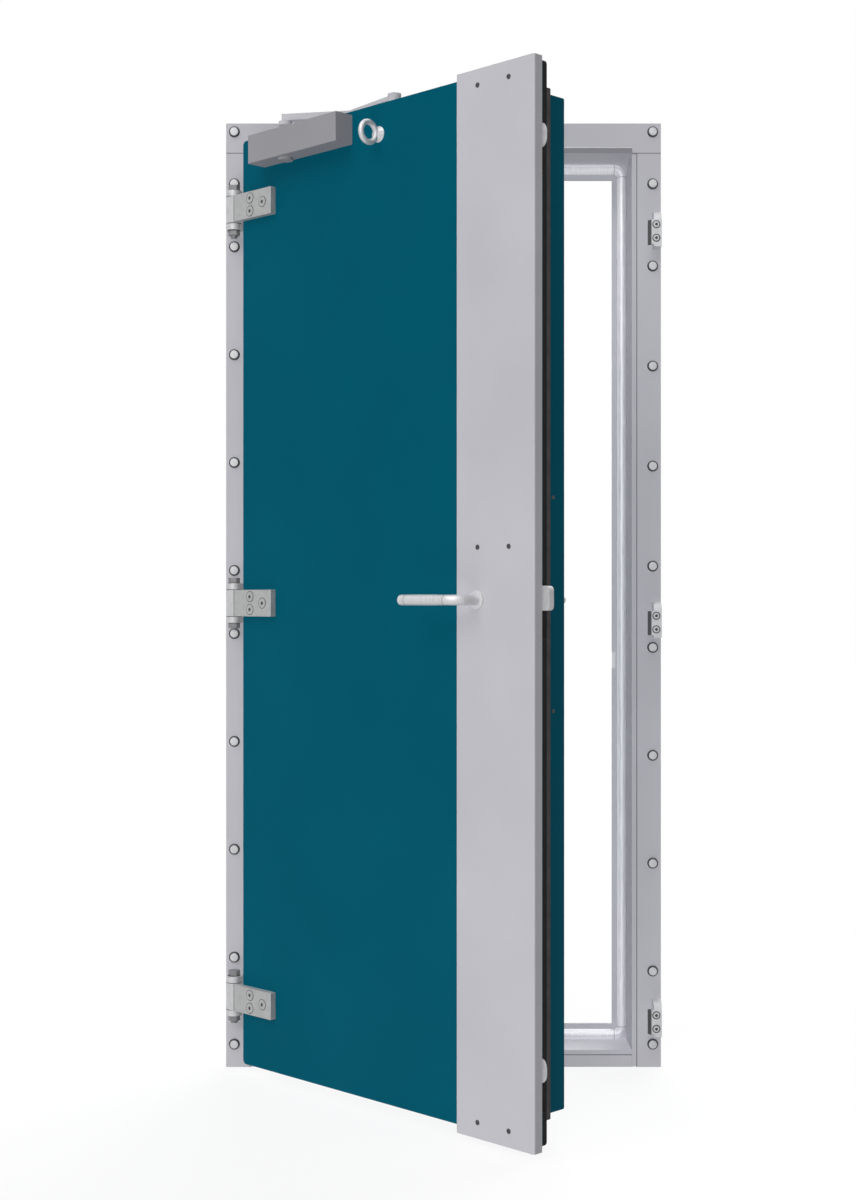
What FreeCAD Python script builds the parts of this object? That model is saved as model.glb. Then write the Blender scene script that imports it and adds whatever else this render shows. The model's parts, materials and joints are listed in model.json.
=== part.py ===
import FreeCAD, Part
import math
import operator
import os
import Sketcher

# Steel utility door: a pressed steel frame with a leaf that stands open, hung on three lugs.
# Frame axes: +X right, +Y into the wall, +Z up. The origin lies on the wall face, behind the sill.
# Leaf axes: origin on the hinge axis, +X towards the free edge, -Y out of the outer face.

# Driving dimensions in millimetres and degrees.
SIZES = {
    "clear_width": 800,
    "clear_height": 1997,
    "clear_bottom": 57,
    "strip_width": 33.6,
    "strip_thickness": 6,
    "notch_height": 38,
    "notch_depth": 8,
    "notch_drop": 123,
    "reveal_depth": 122,
    "wall_thickness": 10,
    "flange_width": 55.5,
    "lip_width": 10.9,
    "lip_setback": 3,
    "head_height": 68.4,
    "sill_face": 28,
    "sill_slope": 7,
    "drip_height": 14,
    "drip_depth": 4,
    "drip_top": 3,
    "bead_diameter": 22.5,
    "bead_bend": 18.5,
    "seat_gap": 0.3,
    "running_gap": 0.5,
    "cut_over": 1,
    "bolt_hole": 14,
    "bolt_inset": 19,
    "head_bolt_drop": 19.6,
    "upper_bolt_drop": 70.8,
    "foot_bolt_rise": 53,
    "hinge_bolts_drop": 215.6,
    "hinge_bolts_rise": 253,
    "strike_bolts_drop": 259.6,
    "strike_bolts_rise": 221,
    "bolt_pitch": 248,
    "strike_upper_pitch": 230,
    "open_angle": 45,
    "hinge_inset": 21,
    "hinge_standoff": 22,
    "hinge_top_drop": 151,
    "hinge_foot_rise": 149,
    "barrel_diameter": 36,
    "barrel_height": 60,
    "lug_height": 14.5,
    "lug_plate": 3,
    "pin_diameter": 16,
    "pin_hex": 27,
    "pin_head": 12.6,
    "pin_nut": 12,
    "pin_tail": 5,
    "blade_length": 150,
    "blade_round": 1,
    "leaf_hinge_gap": 36,
    "leaf_free_overlap": 25.4,
    "leaf_top_overlap": 13.4,
    "leaf_foot_overlap": 16.4,
    "leaf_face": 3,
    "panel_thickness": 4,
    "panel_corner": 9,
    "seal_thickness": 12,
    "box_hinge_gap": 37.6,
    "box_free_gap": 16.6,
    "box_top_gap": 33.6,
    "box_foot_gap": 27.6,
    "box_rear_gap": 6,
    "box_round": 10,
    "gasket_start": 51,
    "gasket_height": 12,
    "gasket_lip": 9,
    "cover_width": 206,
    "cover_depth": 23,
    "cover_sheet": 3,
    "cover_overhang": 2,
    "cover_top_rise": 5,
    "cover_foot_drop": 8,
    "cover_bend": 4,
    "spindle_height": 1060,
    "spindle_setback": 150,
    "spindle_diameter": 16,
    "rose_diameter": 37,
    "rose_height": 3,
    "lever_tube": 21,
    "lever_standoff": 60,
    "lever_length": 155,
    "lever_bend": 26,
    "grip_length": 104,
    "grip_wall": 0.4,
    "inner_standoff": 43,
    "inner_tube": 16,
    "inner_reach": 66,
    "latch_travel": 50,
    "latch_gap": 5,
    "latch_bar_width": 20,
    "latch_bar_thickness": 8,
    "latch_bar_setback": 32,
    "cam_height": 48,
    "cam_thickness": 14,
    "cam_reach": 14.8,
    "cam_setback": 3,
    "end_cam_reach": 11,
    "cam_round": 20,
    "middle_cam_round": 9,
    "strike_inset": 3,
    "strike_width": 18,
    "strike_depth": 40,
    "strike_height": 81,
    "strike_bevel": 14,
    "strike_wing": 12.5,
    "wing_depth": 16,
    "wing_step": 6,
    "wing_step_width": 4,
    "wing_height": 55,
    "wing_drop": 20,
    "cam_above_strike": 49,
    "strike_top_drop": 181.1,
    "strike_foot_rise": 118.5,
    "strike_middle_drop": 45.5,
    "closer_start": 112,
    "closer_length": 290,
    "closer_depth": 48.5,
    "closer_height": 63,
    "closer_top_drop": 8,
    "closer_round": 1.5,
    "closer_spindle": 100,
    "boss_diameter": 30,
    "boss_height": 7,
    "valve_diameter": 34,
    "valve_height": 6,
    "arm_thickness": 14,
    "arm_width": 24,
    "arm_rise": 10,
    "arm_crank": 64,
    "knuckle_diameter": 34,
    "knuckle_height": 29,
    "joint_pin": 12,
    "joint_head": 30,
    "joint_head_height": 4,
    "forearm_width": 22,
    "forearm_thickness": 8,
    "forearm_step": 6,
    "shoe_offset": 240,
    "shoe_reach": 45,
    "shoe_pin_gap": 1,
    "shoe_width": 80,
    "shoe_height": 46,
    "shoe_plate": 4,
    "shoe_lug_width": 30,
    "shoe_lug_height": 14,
    "eye_setback": 447,
    "eye_drop": 64,
    "eye_ring": 42,
    "eye_wire": 12,
    "eye_collar": 34,
    "eye_neck": 22,
    "eye_collar_height": 8,
}

doc = FreeCAD.newDocument("utility_door")
sheet = doc.addObject("Spreadsheet::Sheet", "Sizes")
subparts = []


class Size:
    """A number together with the sheet formula that gives it."""

    def __init__(self, value, formula):
        self.value = value
        self.formula = formula

    def __add__(self, other):
        return combined(self, "+", other)

    def __radd__(self, other):
        return combined(other, "+", self)

    def __sub__(self, other):
        return combined(self, "-", other)

    def __rsub__(self, other):
        return combined(other, "-", self)

    def __mul__(self, other):
        return combined(self, "*", other)

    def __rmul__(self, other):
        return combined(other, "*", self)

    def __truediv__(self, other):
        return combined(self, "/", other)

    def __neg__(self):
        return combined(0, "-", self)


SIGNS = {"+": operator.add, "-": operator.sub, "*": operator.mul, "/": operator.truediv}


def as_size(number):
    """A plain number as a Size."""
    return number if isinstance(number, Size) else Size(float(number), "(%s)" % number)


def combined(left, sign, right):
    """The sum, difference, product or quotient of two sizes."""
    left = as_size(left)
    right = as_size(right)
    value = SIGNS[sign](left.value, right.value)
    return Size(value, "(%s %s %s)" % (left.formula, sign, right.formula))


def cosine(angle):
    """The cosine of a size in degrees."""
    return Size(math.cos(math.radians(angle.value)), "cos(%s * 1 deg)" % angle.formula)


def sine(angle):
    """The sine of a size in degrees."""
    return Size(math.sin(math.radians(angle.value)), "sin(%s * 1 deg)" % angle.formula)


def hypotenuse(across, along):
    """The length of a slanted line from its two legs."""
    squares = across * across + along * along
    return Size(math.sqrt(squares.value), "sqrt(%s)" % squares.formula)


def slant(across, along):
    """The angle in degrees of a line that runs along X and across Y, for a positive run."""
    ratio = across / along
    return Size(math.degrees(math.atan(ratio.value)), "(atan(%s) / 1 deg)" % ratio.formula)


def fill_sheet():
    """Put the driving dimensions in the sheet and return them as sizes."""
    sizes = {}
    for row, (alias, value) in enumerate(SIZES.items(), start=1):
        sheet.set("A%d" % row, alias)
        sheet.set("B%d" % row, str(value))
        sheet.setAlias("B%d" % row, alias)
        sizes[alias] = Size(float(value), "Sizes.%s" % alias)
    doc.recompute()
    return sizes


d = fill_sheet()


def bind(item, name, size):
    """Tie a property to the sheet."""
    item.setExpression(name, as_size(size).formula)


def place(item, x=0, y=0, z=0, turn=None, axis=(0, 0, 1)):
    """Put a piece at a point, turned about an axis by an angle in degrees."""
    if turn is not None:
        item.Placement.Rotation = FreeCAD.Rotation(FreeCAD.Vector(*axis), turn.value)
        item.setExpression("Placement.Rotation.Angle", "%s * 1 deg" % turn.formula)
    bind(item, "Placement.Base.x", x)
    bind(item, "Placement.Base.y", y)
    bind(item, "Placement.Base.z", z)


def rectangle(left, low, right, high):
    """The four corners of an upright rectangle."""
    return [(left, low), (right, low), (right, high), (left, high)]


def disc(x, y, diameter):
    """A circle by its centre and diameter."""
    return {"x": x, "y": y, "diameter": diameter}


def pin_down(sketch, geometry, point, x, y):
    """Hold a point of a sketch at its distances from the sketch's origin."""
    for kind, number in (("DistanceX", x), ("DistanceY", y)):
        size = as_size(number)
        index = sketch.addConstraint(Sketcher.Constraint(kind, -1, 1, geometry, point, size.value))
        sketch.setExpression("Constraints[%d]" % index, size.formula)


def flat(x, y):
    """A point of a sketch."""
    return FreeCAD.Vector(as_size(x).value, as_size(y).value, 0)


def draw_polygon(sketch, points):
    """Draw a closed run of straight lines."""
    first = sketch.GeometryCount
    count = len(points)
    for index, start in enumerate(points):
        end = points[(index + 1) % count]
        sketch.addGeometry(Part.LineSegment(flat(*start), flat(*end)), False)
    for index in range(count):
        following = first + (index + 1) % count
        sketch.addConstraint(Sketcher.Constraint("Coincident", first + index, 2, following, 1))
    for index, (x, y) in enumerate(points):
        pin_down(sketch, first + index, 1, x, y)


def draw_circle(sketch, circle):
    """Draw a circle."""
    size = as_size(circle["diameter"])
    centre = flat(circle["x"], circle["y"])
    geometry = sketch.addGeometry(Part.Circle(centre, FreeCAD.Vector(0, 0, 1), size.value / 2), False)
    pin_down(sketch, geometry, 3, circle["x"], circle["y"])
    index = sketch.addConstraint(Sketcher.Constraint("Diameter", geometry, size.value))
    sketch.setExpression("Constraints[%d]" % index, size.formula)


def add_sketch(body, plane, loops, offset):
    """A sketch of closed loops, parallel to one of the body's own planes."""
    sketch = body.newObject("Sketcher::SketchObject", body.Label + "_sketch")
    support = [item for item in body.Origin.OriginFeatures if item.Role == plane + "_Plane"][0]
    sketch.AttachmentSupport = (support, "")
    sketch.MapMode = "FlatFace"
    bind(sketch, "AttachmentOffset.Base.z", offset)
    for loop in loops:
        if isinstance(loop, dict):
            draw_circle(sketch, loop)
        else:
            draw_polygon(sketch, loop)
    return sketch


def pad(body, plane, loops, start, end):
    """Add the loops' area from start to end along the axis that the plane faces."""
    offset = -as_size(end) if plane == "XZ" else start
    feature = body.newObject("PartDesign::Pad", body.Label + "_pad")
    feature.Profile = add_sketch(body, plane, loops, offset)
    bind(feature, "Length", as_size(end) - start)
    body.Tip = feature
    return feature


def pocket(body, plane, loops, start, end):
    """Cut the loops' area away from start to end along the axis that the plane faces."""
    offset = -as_size(start) if plane == "XZ" else end
    feature = body.newObject("PartDesign::Pocket", body.Label + "_pocket")
    feature.Profile = add_sketch(body, plane, loops, offset)
    bind(feature, "Length", as_size(end) - start)
    body.Tip = feature
    return feature


def new_body(label):
    """An empty body for one sub-part."""
    body = doc.addObject("PartDesign::Body", label)
    body.Label = label
    subparts.append(body)
    return body


def edges_along(shape, axis):
    """The names of the straight edges that run along an axis."""
    names = []
    for index, edge in enumerate(shape.Edges, start=1):
        if isinstance(edge.Curve, Part.Line):
            if abs(edge.Curve.Direction.dot(FreeCAD.Vector(*axis))) > 1 - 1e-6:
                names.append("Edge%d" % index)
    return names


def edges_where(shape, test):
    """The names of the edges whose middle passes a test."""
    names = []
    for index, edge in enumerate(shape.Edges, start=1):
        if test(edge.BoundBox.Center):
            names.append("Edge%d" % index)
    return names


def dress(body, kind, names, size):
    """Round or bevel the named edges of the body."""
    base = body.Tip
    feature = body.newObject("PartDesign::" + kind, body.Label + "_" + kind.lower())
    feature.Base = (base, names)
    bind(feature, "Radius" if kind == "Fillet" else "Size", size)
    body.Tip = feature
    doc.recompute()
    return feature


# Places in the frame that several pieces share.
half_clear = d["clear_width"] / 2
reveal_x = half_clear + d["strip_width"]
lip_x = reveal_x + d["lip_width"]
outer_x = lip_x + d["flange_width"]
clear_top = d["clear_bottom"] + d["clear_height"]
floor_z = d["clear_bottom"] - d["strip_width"]
soffit_z = clear_top + d["strip_width"]
top_z = soffit_z + d["head_height"]
bottom_z = -d["sill_face"] / 2
front_y = -d["wall_thickness"]
strip_y = d["reveal_depth"] - d["strip_thickness"]
bolt_x = outer_x - d["bolt_inset"]

# Places on the leaf, in the leaf's own axes.
hinge_x = d["hinge_inset"] - outer_x
hinge_y = front_y - d["hinge_standoff"]
leaf_start = d["leaf_hinge_gap"]
leaf_end = reveal_x - hinge_x + d["leaf_free_overlap"]
leaf_top = soffit_z + d["leaf_top_overlap"]
leaf_foot = floor_z - d["leaf_foot_overlap"]
face_y = -d["leaf_face"]
seal_y = face_y + d["panel_thickness"]
seal_rear = seal_y + d["seal_thickness"]
box_start = d["box_hinge_gap"] - reveal_x - hinge_x
box_end = reveal_x - hinge_x - d["box_free_gap"]
box_top = soffit_z - d["box_top_gap"]
box_foot = floor_z + d["box_foot_gap"]
bead_front = strip_y - d["seat_gap"] - d["bead_diameter"]
box_rear = bead_front - hinge_y - d["box_rear_gap"]
cover_y = face_y - d["cover_depth"]
cover_end = leaf_end + d["cover_overhang"]
cover_start = cover_end - d["cover_width"]
spindle_u = leaf_end - d["spindle_setback"]
spindle_z = d["spindle_height"]
hinge_heights = {
    "top": soffit_z - d["hinge_top_drop"] + d["leaf_top_overlap"],
    "bottom": leaf_foot + d["hinge_foot_rise"],
}
hinge_heights["middle"] = (hinge_heights["top"] + hinge_heights["bottom"]) / 2
strike_heights = {
    "top": soffit_z - d["strike_top_drop"],
    "middle": spindle_z - d["strike_middle_drop"],
    "bottom": bottom_z + d["strike_foot_rise"],
}


def on_leaf(item):
    """Hang a piece on the hinge axis, at the angle where the leaf stands."""
    place(item, hinge_x, hinge_y, 0, -d["open_angle"])


def bolt_heights(first, pitch, count, step):
    """The heights of a run of frame bolts, up or down from its first."""
    return [first + step * index * pitch for index in range(count)]


def bolt_holes(body, side, heights):
    """Bolt holes through the front flange."""
    holes = [disc(side * bolt_x, height, d["bolt_hole"]) for height in heights]
    pocket(body, "XZ", holes, front_y - d["cut_over"], d["cut_over"])


def make_jamb(label, side, heights):
    """A jamb pressed to a Z section, with its rear strip and its bolt holes. Returns its body."""
    body = new_body(label)
    wall_x = reveal_x + d["wall_thickness"]
    lip_y = front_y + d["lip_setback"]
    section = [
        (outer_x, front_y),
        (outer_x, 0),
        (wall_x, 0),
        (wall_x, d["reveal_depth"]),
        (reveal_x, d["reveal_depth"]),
        (reveal_x, lip_y),
        (lip_x, lip_y),
        (lip_x, front_y),
    ]
    pad(body, "XY", [[(side * x, y) for x, y in section]], bottom_z, soffit_z)
    near = min(side * half_clear, side * reveal_x, key=lambda size: size.value)
    far = max(side * half_clear, side * reveal_x, key=lambda size: size.value)
    pad(body, "XZ", [rectangle(near, floor_z, far, soffit_z)], strip_y, d["reveal_depth"])
    bolt_holes(body, side, heights)
    return body


def cut_keeper_notch(body):
    """A notch in the rear strip, below the handle."""
    high = d["spindle_height"] - d["notch_drop"]
    low = high - d["notch_height"]
    shape = rectangle(half_clear - d["cut_over"], low, half_clear + d["notch_depth"], high)
    pocket(body, "XZ", [shape], strip_y - d["cut_over"], d["reveal_depth"] + d["cut_over"])


def make_head():
    """The head across the top: flange, soffit, rear strip and a drip strip along its lower edge."""
    body = new_body("frame_head")
    pad(body, "YZ", [rectangle(front_y, soffit_z, 0, top_z)], -outer_x, outer_x)
    wall_x = reveal_x + d["wall_thickness"]
    soffit = rectangle(0, soffit_z, d["reveal_depth"], soffit_z + d["wall_thickness"])
    pad(body, "YZ", [soffit], -wall_x, wall_x)
    strip = rectangle(strip_y, clear_top, d["reveal_depth"], soffit_z)
    pad(body, "YZ", [strip], -half_clear, half_clear)
    drip_y = front_y - d["drip_depth"]
    drip_z = soffit_z + d["drip_height"]
    drip = [(front_y, soffit_z), (front_y, drip_z), (drip_y, drip_z - d["drip_top"])]
    pad(body, "YZ", [drip], -reveal_x, reveal_x)
    for side in (-1, 1):
        bolt_holes(body, side, [top_z - d["head_bolt_drop"]])


def make_sill():
    """The sill between the jambs: front face, sloped lip, floor and rear strip."""
    body = new_body("frame_sill")
    section = [
        (front_y, bottom_z),
        (0, bottom_z),
        (0, floor_z - d["wall_thickness"]),
        (d["reveal_depth"], floor_z - d["wall_thickness"]),
        (d["reveal_depth"], floor_z),
        (front_y + d["sill_slope"], floor_z),
        (front_y, -bottom_z),
    ]
    pad(body, "YZ", [section], -reveal_x, reveal_x)
    strip = rectangle(strip_y, floor_z, d["reveal_depth"], d["clear_bottom"])
    pad(body, "YZ", [strip], -half_clear, half_clear)


def make_beads():
    """A round bead along the rear of the reveal: four straight tubes joined by four elbows."""
    radius = d["bead_diameter"] / 2
    centre_y = bead_front + radius
    side_x = reveal_x - d["seat_gap"] - radius
    high_z = soffit_z - d["seat_gap"] - radius
    low_z = floor_z + d["seat_gap"] + radius
    bend = d["bead_bend"]
    for name, side in (("left", -1), ("right", 1)):
        body = new_body("bead_" + name)
        pad(body, "XY", [disc(side * side_x, centre_y, d["bead_diameter"])], low_z + bend, high_z - bend)
    for name, height in (("head", high_z), ("sill", low_z)):
        body = new_body("bead_" + name)
        pad(body, "YZ", [disc(centre_y, height, d["bead_diameter"])], bend - side_x, side_x - bend)
    for name, side, height, turn in (
        ("head_left", -1, high_z, 90),
        ("head_right", 1, high_z, 0),
        ("sill_left", -1, low_z, 180),
        ("sill_right", 1, low_z, 270),
    ):
        elbow = doc.addObject("Part::Torus", "bead_elbow_" + name)
        elbow.Label = "bead_elbow_" + name
        bind(elbow, "Radius1", bend)
        bind(elbow, "Radius2", radius)
        elbow.Angle3 = 90
        upright = FreeCAD.Rotation(FreeCAD.Vector(1, 0, 0), 90)
        elbow.Placement.Rotation = upright * FreeCAD.Rotation(FreeCAD.Vector(0, 0, 1), turn)
        inward = 1 if name.startswith("sill") else -1
        place(elbow, side * (side_x - bend), centre_y, height + inward * bend)
        subparts.append(elbow)


def make_hinge(name, height):
    """A hinge: lugs welded to the jamb, a bolt as its pin, and a barrel with its blade."""
    half = d["barrel_height"] / 2
    lug_start = half + d["running_gap"]
    lug_end = lug_start + d["lug_height"]
    radius = d["barrel_diameter"] / 2
    body = new_body("hinge_bracket_" + name)
    back = rectangle(hinge_x - radius, front_y - d["lug_plate"], hinge_x + radius, front_y)
    pad(body, "XY", [back], height - lug_end, height + lug_end)
    web = rectangle(hinge_x - radius, hinge_y, hinge_x + radius, front_y - d["lug_plate"])
    for low, high in ((-lug_end, -lug_start), (lug_start, lug_end)):
        pad(body, "XY", [web], height + low, height + high)
        pad(body, "XY", [disc(hinge_x, hinge_y, d["barrel_diameter"])], height + low, height + high)
    bore = disc(hinge_x, hinge_y, d["pin_diameter"])
    pocket(body, "XY", [bore], height - lug_end - d["cut_over"], height + lug_end + d["cut_over"])

    pin = new_body("hinge_pin_" + name)
    shank = disc(hinge_x, hinge_y, d["pin_diameter"])
    tail = d["pin_nut"] + d["pin_tail"]
    pad(pin, "XY", [shank], height - lug_end - tail, height + lug_end + d["pin_head"])
    flats = []
    for corner in range(6):
        angle = math.radians(60 * corner)
        across = d["pin_hex"] / 2 * round(math.cos(angle), 9)
        along = d["pin_hex"] / 2 * round(math.sin(angle), 9)
        flats.append((hinge_x + across, hinge_y + along))
    pad(pin, "XY", [flats], height + lug_end, height + lug_end + d["pin_head"])
    pad(pin, "XY", [flats], height - lug_end - d["pin_nut"], height - lug_end)

    blade = new_body("hinge_blade_" + name)
    pad(blade, "XY", [disc(0, 0, d["barrel_diameter"])], height - half, height + half)
    strap = rectangle(0, -radius, d["blade_length"], face_y)
    pad(blade, "XY", [strap], height - half, height + half)
    doc.recompute()
    tip = d["blade_length"].value
    corners = edges_where(blade.Tip.Shape, lambda c: abs(c.x - tip) < 1e-3 and c.y < face_y.value - 1)
    dress(blade, "Fillet", corners, d["blade_round"])
    sleeve = disc(0, 0, d["pin_diameter"] + 2 * d["seat_gap"])
    pocket(blade, "XY", [sleeve], height - half - d["cut_over"], height + half + d["cut_over"])
    on_leaf(blade)


def make_strike(name, height):
    """A strike on the far jamb: a block with a sloped top and a stepped wing that the cam catches behind."""
    body = new_body("strike_" + name)
    half = d["strike_height"] / 2
    far_x = outer_x - d["strike_inset"]
    near_x = far_x - d["strike_width"]
    face = front_y - d["strike_depth"]
    block = [
        (front_y, height - half),
        (front_y, height + half),
        (face + d["strike_bevel"], height + half),
        (face + d["strike_bevel"] / 3, height + half - d["strike_bevel"] / 2),
        (face, height + half - d["strike_bevel"] * 1.5),
        (face, height - half),
    ]
    pad(body, "YZ", [block], near_x, far_x)
    high = height + d["wing_drop"]
    low = high - d["wing_height"]
    wing_rear = face + d["wing_depth"]
    wing_x = near_x - d["strike_wing"]
    pad(body, "XZ", [rectangle(wing_x + d["wing_step_width"], low, near_x, high)], face, wing_rear)
    pad(body, "XZ", [rectangle(wing_x, low, near_x, high)], face + d["wing_step"], wing_rear)


def cam_slots():
    """The slots that let the latch cams out of the leaf's free edge, through their whole travel."""
    half = d["cam_height"] / 2
    near = leaf_end - d["latch_bar_setback"] - d["latch_gap"]
    slots = []
    for height in strike_heights.values():
        middle = height + d["cam_above_strike"]
        low = middle - half - d["latch_travel"] - d["latch_gap"]
        slots.append(rectangle(near, low, leaf_end + d["cut_over"], middle + half + d["latch_gap"]))
    return slots


def make_leaf():
    """The leaf: outer panel, edge seal, inner box, seat gasket and the cover over the latch."""
    spindle_bore = disc(spindle_u, spindle_z, d["spindle_diameter"] + 2 * d["seat_gap"])
    outline = rectangle(leaf_start, leaf_foot, leaf_end, leaf_top)

    panel = new_body("leaf_panel")
    pad(panel, "XZ", [outline], face_y, seal_y)
    doc.recompute()
    dress(panel, "Fillet", edges_along(panel.Tip.Shape, (0, 1, 0)), d["panel_corner"])
    pocket(panel, "XZ", cam_slots() + [spindle_bore], face_y - d["cut_over"], seal_y + d["cut_over"])
    on_leaf(panel)

    seal = new_body("edge_seal")
    pad(seal, "XZ", [outline], seal_y, seal_rear)
    doc.recompute()
    dress(seal, "Fillet", edges_along(seal.Tip.Shape, (0, 1, 0)), d["panel_corner"])
    core = rectangle(box_start, box_foot, box_end, box_top)
    pocket(seal, "XZ", [core] + cam_slots(), seal_y - d["cut_over"], seal_rear + d["cut_over"])
    on_leaf(seal)

    box = new_body("leaf_box")
    pad(box, "XZ", [core], seal_y, box_rear)
    doc.recompute()
    rear = box_rear.value
    dress(box, "Fillet", edges_where(box.Tip.Shape, lambda c: abs(c.y - rear) < 1e-3), d["box_round"])
    pocket(box, "XZ", [spindle_bore], seal_y - d["cut_over"], box_rear + d["cut_over"])
    on_leaf(box)

    gasket = new_body("seat_gasket")
    lip = d["gasket_lip"]
    rim = rectangle(box_start - lip, box_foot - lip, box_end + lip, box_top + lip)
    gasket_rear = d["gasket_start"] + d["gasket_height"]
    pad(gasket, "XZ", [rim, core], d["gasket_start"], gasket_rear)
    on_leaf(gasket)

    cover = new_body("latch_cover")
    low = leaf_foot - d["cover_foot_drop"]
    high = leaf_top + d["cover_top_rise"]
    pad(cover, "XZ", [rectangle(cover_start, low, cover_end, high)], cover_y, face_y)
    doc.recompute()
    bend_at = FreeCAD.Vector(cover_end.value, cover_y.value, (low.value + high.value) / 2)
    bend_edge = edges_where(cover.Tip.Shape, lambda c: c.distanceToPoint(bend_at) < 1e-3)
    dress(cover, "Fillet", bend_edge, d["cover_bend"])
    sheet_wall = d["cover_sheet"]
    inside = rectangle(cover_start + sheet_wall, low + sheet_wall, cover_end - sheet_wall, high - sheet_wall)
    pocket(cover, "XZ", [inside], cover_y + sheet_wall, face_y + d["cut_over"])
    pocket(cover, "XZ", [spindle_bore], cover_y - d["cut_over"], face_y)
    on_leaf(cover)


def make_latch():
    """The sliding latch bar behind the cover and the three cams that it carries."""
    near = leaf_end - d["latch_bar_setback"]
    far = near + d["latch_bar_width"]
    half = d["cam_height"] / 2
    seat = face_y - d["seat_gap"]
    levels = {name: height + d["cam_above_strike"] for name, height in strike_heights.items()}
    bar = new_body("latch_bar")
    shape = rectangle(near, seat - d["latch_bar_thickness"], far, seat)
    pad(bar, "XY", [shape], levels["bottom"] - half, levels["top"] + half)
    on_leaf(bar)
    for name, level in levels.items():
        cam = new_body("latch_cam_" + name)
        tip = leaf_end + (d["cam_reach"] if name == "middle" else d["end_cam_reach"])
        tip_round = d["middle_cam_round"] if name == "middle" else d["cam_round"]
        cam_y = d["cam_setback"]
        pad(cam, "XZ", [rectangle(near, level - half, tip, level + half)], cam_y, cam_y + d["cam_thickness"])
        doc.recompute()
        edge = tip.value
        ends = edges_where(cam.Tip.Shape, lambda c: abs(c.x - edge) < 1e-3)
        upright = [corner for corner in edges_along(cam.Tip.Shape, (0, 1, 0)) if corner in ends]
        dress(cam, "Fillet", upright, tip_round)
        stem = rectangle(near, level - half / 2, far, level + half / 2)
        pad(cam, "XZ", [stem], seat, cam_y)
        on_leaf(cam)


def make_handles():
    """The outer lever, the inner cross handle, the spindle that joins them and their roses."""
    stand = d["lever_standoff"]
    tube = d["lever_tube"]
    rose_front = cover_y - d["rose_height"]
    rose_rear = box_rear + d["rose_height"]
    bore = disc(spindle_u, spindle_z, d["spindle_diameter"] + 2 * d["seat_gap"])
    for name, start, end in (("outer", rose_front, cover_y), ("inner", box_rear, rose_rear)):
        rose = new_body("rose_" + name)
        pad(rose, "XZ", [disc(spindle_u, spindle_z, d["rose_diameter"]), bore], start, end)
        doc.recompute()
        rim = (rose_front if name == "outer" else rose_rear).value
        size = d["rose_diameter"].value
        edges = [
            "Edge%d" % index
            for index, edge in enumerate(rose.Tip.Shape.Edges, start=1)
            if abs(edge.BoundBox.Center.y - rim) < 1e-3 and edge.BoundBox.XLength > size - 1
        ]
        dress(rose, "Fillet", edges, d["rose_height"] / 3)
        on_leaf(rose)

    lever_start = rose_front - d["seat_gap"]
    inner_start = rose_rear + d["seat_gap"]
    spindle = new_body("handle_spindle")
    pad(spindle, "XZ", [disc(spindle_u, spindle_z, d["spindle_diameter"])], lever_start, inner_start)
    on_leaf(spindle)

    lever = new_body("lever")
    profile = add_sketch(lever, "XZ", [disc(spindle_u, spindle_z, tube)], -lever_start)
    path = lever.newObject("Sketcher::SketchObject", "lever_path")
    level_plane = [item for item in lever.Origin.OriginFeatures if item.Role == "XY_Plane"][0]
    path.AttachmentSupport = (level_plane, "")
    path.MapMode = "FlatFace"
    bind(path, "AttachmentOffset.Base.z", spindle_z)
    bend = d["lever_bend"]
    arm_y = cover_y - stand
    corner = arm_y + bend
    tip_u = spindle_u - d["lever_length"]
    path.addGeometry(Part.LineSegment(flat(spindle_u, lever_start), flat(spindle_u, corner)), False)
    centre = flat(spindle_u - bend, corner)
    circle = Part.Circle(centre, FreeCAD.Vector(0, 0, 1), bend.value)
    path.addGeometry(Part.ArcOfCircle(circle, -math.pi / 2, 0), False)
    path.addGeometry(Part.LineSegment(flat(spindle_u - bend, arm_y), flat(tip_u, arm_y)), False)
    pin_down(path, 0, 1, spindle_u, lever_start)
    pin_down(path, 0, 2, spindle_u, corner)
    pin_down(path, 2, 1, spindle_u - bend, arm_y)
    pin_down(path, 2, 2, tip_u, arm_y)
    path.addConstraint(Sketcher.Constraint("Coincident", 1, 2, 0, 2))
    path.addConstraint(Sketcher.Constraint("Coincident", 1, 1, 2, 1))
    radius_index = path.addConstraint(Sketcher.Constraint("Radius", 1, bend.value))
    path.setExpression("Constraints[%d]" % radius_index, bend.formula)
    doc.recompute()
    pipe = lever.newObject("PartDesign::AdditivePipe", "lever_pipe")
    pipe.Profile = profile
    pipe.Spine = (path, ["Edge1", "Edge2", "Edge3"])
    lever.Tip = pipe
    grip_end = tip_u + d["grip_length"]
    grip = disc(arm_y, spindle_z, tube + 2 * d["grip_wall"])
    pad(lever, "YZ", [grip], tip_u, grip_end)
    doc.recompute()
    tip = tip_u.value
    dress(lever, "Fillet", edges_where(lever.Tip.Shape, lambda c: abs(c.x - tip) < 1e-3), tube / 4)
    on_leaf(lever)

    inner = new_body("inner_handle")
    bar_y = box_rear + d["inner_standoff"]
    reach = d["inner_reach"]
    pad(inner, "YZ", [disc(bar_y, spindle_z, d["inner_tube"])], spindle_u - reach, spindle_u + reach)
    doc.recompute()
    middle = spindle_u.value
    ends = edges_where(inner.Tip.Shape, lambda c: abs(abs(c.x - middle) - reach.value) < 1e-3)
    dress(inner, "Fillet", ends, d["inner_tube"] / 3)
    pad(inner, "XZ", [disc(spindle_u, spindle_z, tube)], inner_start, bar_y)
    on_leaf(inner)


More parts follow.
